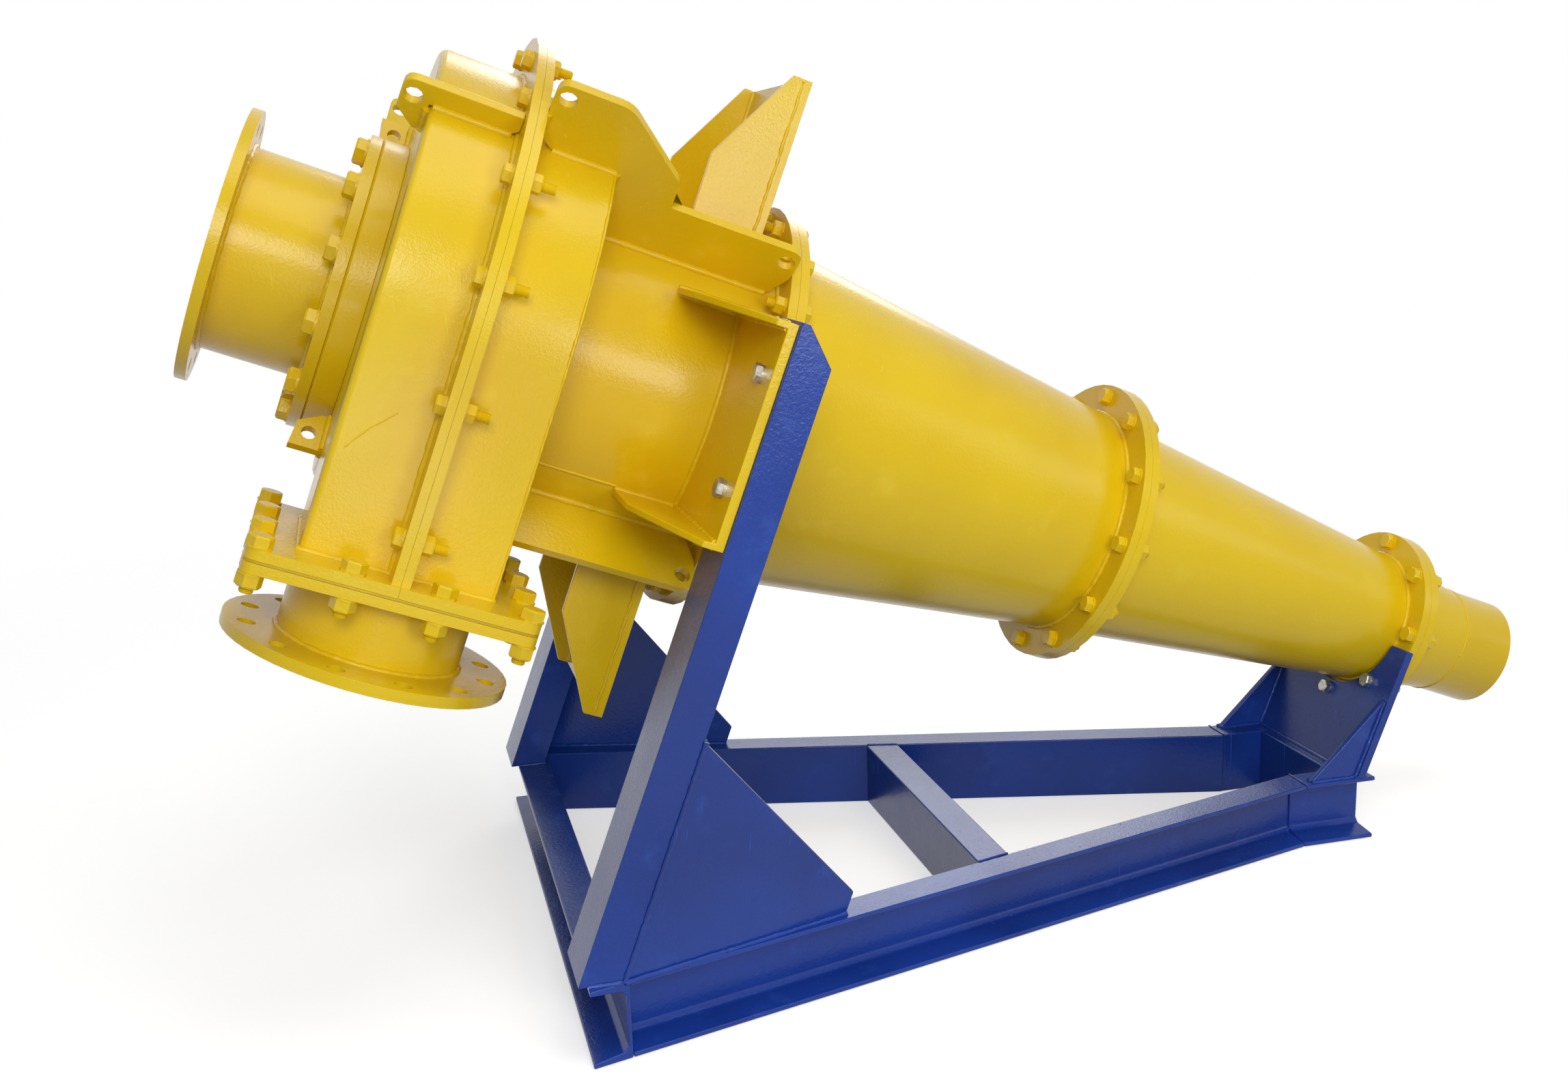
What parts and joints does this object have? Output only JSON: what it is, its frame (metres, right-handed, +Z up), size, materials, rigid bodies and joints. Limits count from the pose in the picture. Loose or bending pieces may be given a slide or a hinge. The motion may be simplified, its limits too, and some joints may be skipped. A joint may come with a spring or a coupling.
{
  "type": "hydrocyclone",
  "caption": "Rubber-lined hydrocyclone leaning on a welded channel stand: scroll feed casing, flanged cones, overflow pipe and spigot.",
  "frame": {"origin": "centre of the overall bounding box at floor level", "axes": "+Z up, +X along the floor from the overflow pipe to the spigot, -Y towards the feed pipe's side"},
  "size_m": [1.9968, 0.914, 1.2115],
  "materials": {
    "yellow_paint": "gloss",
    "blue_paint": "gloss",
    "lining_rubber": "matte",
    "zinc_steel": "satin"
  },
  "bodies": {
    "root": {"overflow_pipe": "yellow_paint", "cover_ring": "yellow_paint", "upper_scroll_shell": "yellow_paint", "lower_scroll_shell": "yellow_paint", "feed_adapter": "yellow_paint", "roof_lug_front": "yellow_paint", "roof_lug_back": "yellow_paint", "barrel_lug_upper_front": "yellow_paint", "barrel_lug_upper_back": "yellow_paint", "barrel_lug_lower_front": "yellow_paint", "barrel_lug_lower_back": "yellow_paint", "mounting_bracket_top": "yellow_paint", "mounting_bracket_back": "yellow_paint", "mounting_bracket_bottom": "yellow_paint", "mounting_bracket_front": "yellow_paint", "upper_cone": "yellow_paint", "lower_cone": "yellow_paint", "spigot_housing": "yellow_paint", "feed_bolt_01": "yellow_paint", "feed_bolt_02": "yellow_paint", "feed_bolt_03": "yellow_paint", "feed_bolt_04": "yellow_paint", "feed_bolt_05": "yellow_paint", "feed_bolt_06": "yellow_paint", "feed_bolt_07": "yellow_paint", "feed_bolt_08": "yellow_paint", "feed_bolt_09": "yellow_paint", "feed_bolt_10": "yellow_paint", "feed_bolt_11": "yellow_paint", "feed_bolt_12": "yellow_paint", "long_beam_front": "blue_paint", "long_beam_back": "blue_paint", "left_cross_beam": "blue_paint", "middle_cross_beam": "blue_paint", "end_cross_beam": "blue_paint", "end_stub_front": "blue_paint", "end_stub_back": "blue_paint", "upright_front": "blue_paint", "upright_back": "blue_paint", "upright_gusset_front": "blue_paint", "upright_gusset_back": "blue_paint", "saddle_plate": "blue_paint", "saddle_gusset_front": "blue_paint", "saddle_gusset_back": "blue_paint", "overflow_liner": "lining_rubber", "upper_scroll_liner": "lining_rubber", "lower_scroll_liner": "lining_rubber", "feed_gasket": "lining_rubber", "feed_liner": "lining_rubber", "upper_cone_liner": "lining_rubber", "lower_cone_liner": "lining_rubber", "spigot_liner": "lining_rubber", "vortex_finder": "lining_rubber", "bracket_bolt_front_low": "zinc_steel", "bracket_bolt_front_high": "zinc_steel", "bracket_bolt_back_low": "zinc_steel", "bracket_bolt_back_high": "zinc_steel", "saddle_bolt_front": "zinc_steel", "saddle_bolt_bottom": "zinc_steel", "saddle_bolt_back": "zinc_steel"}
  },
  "joints": []
}
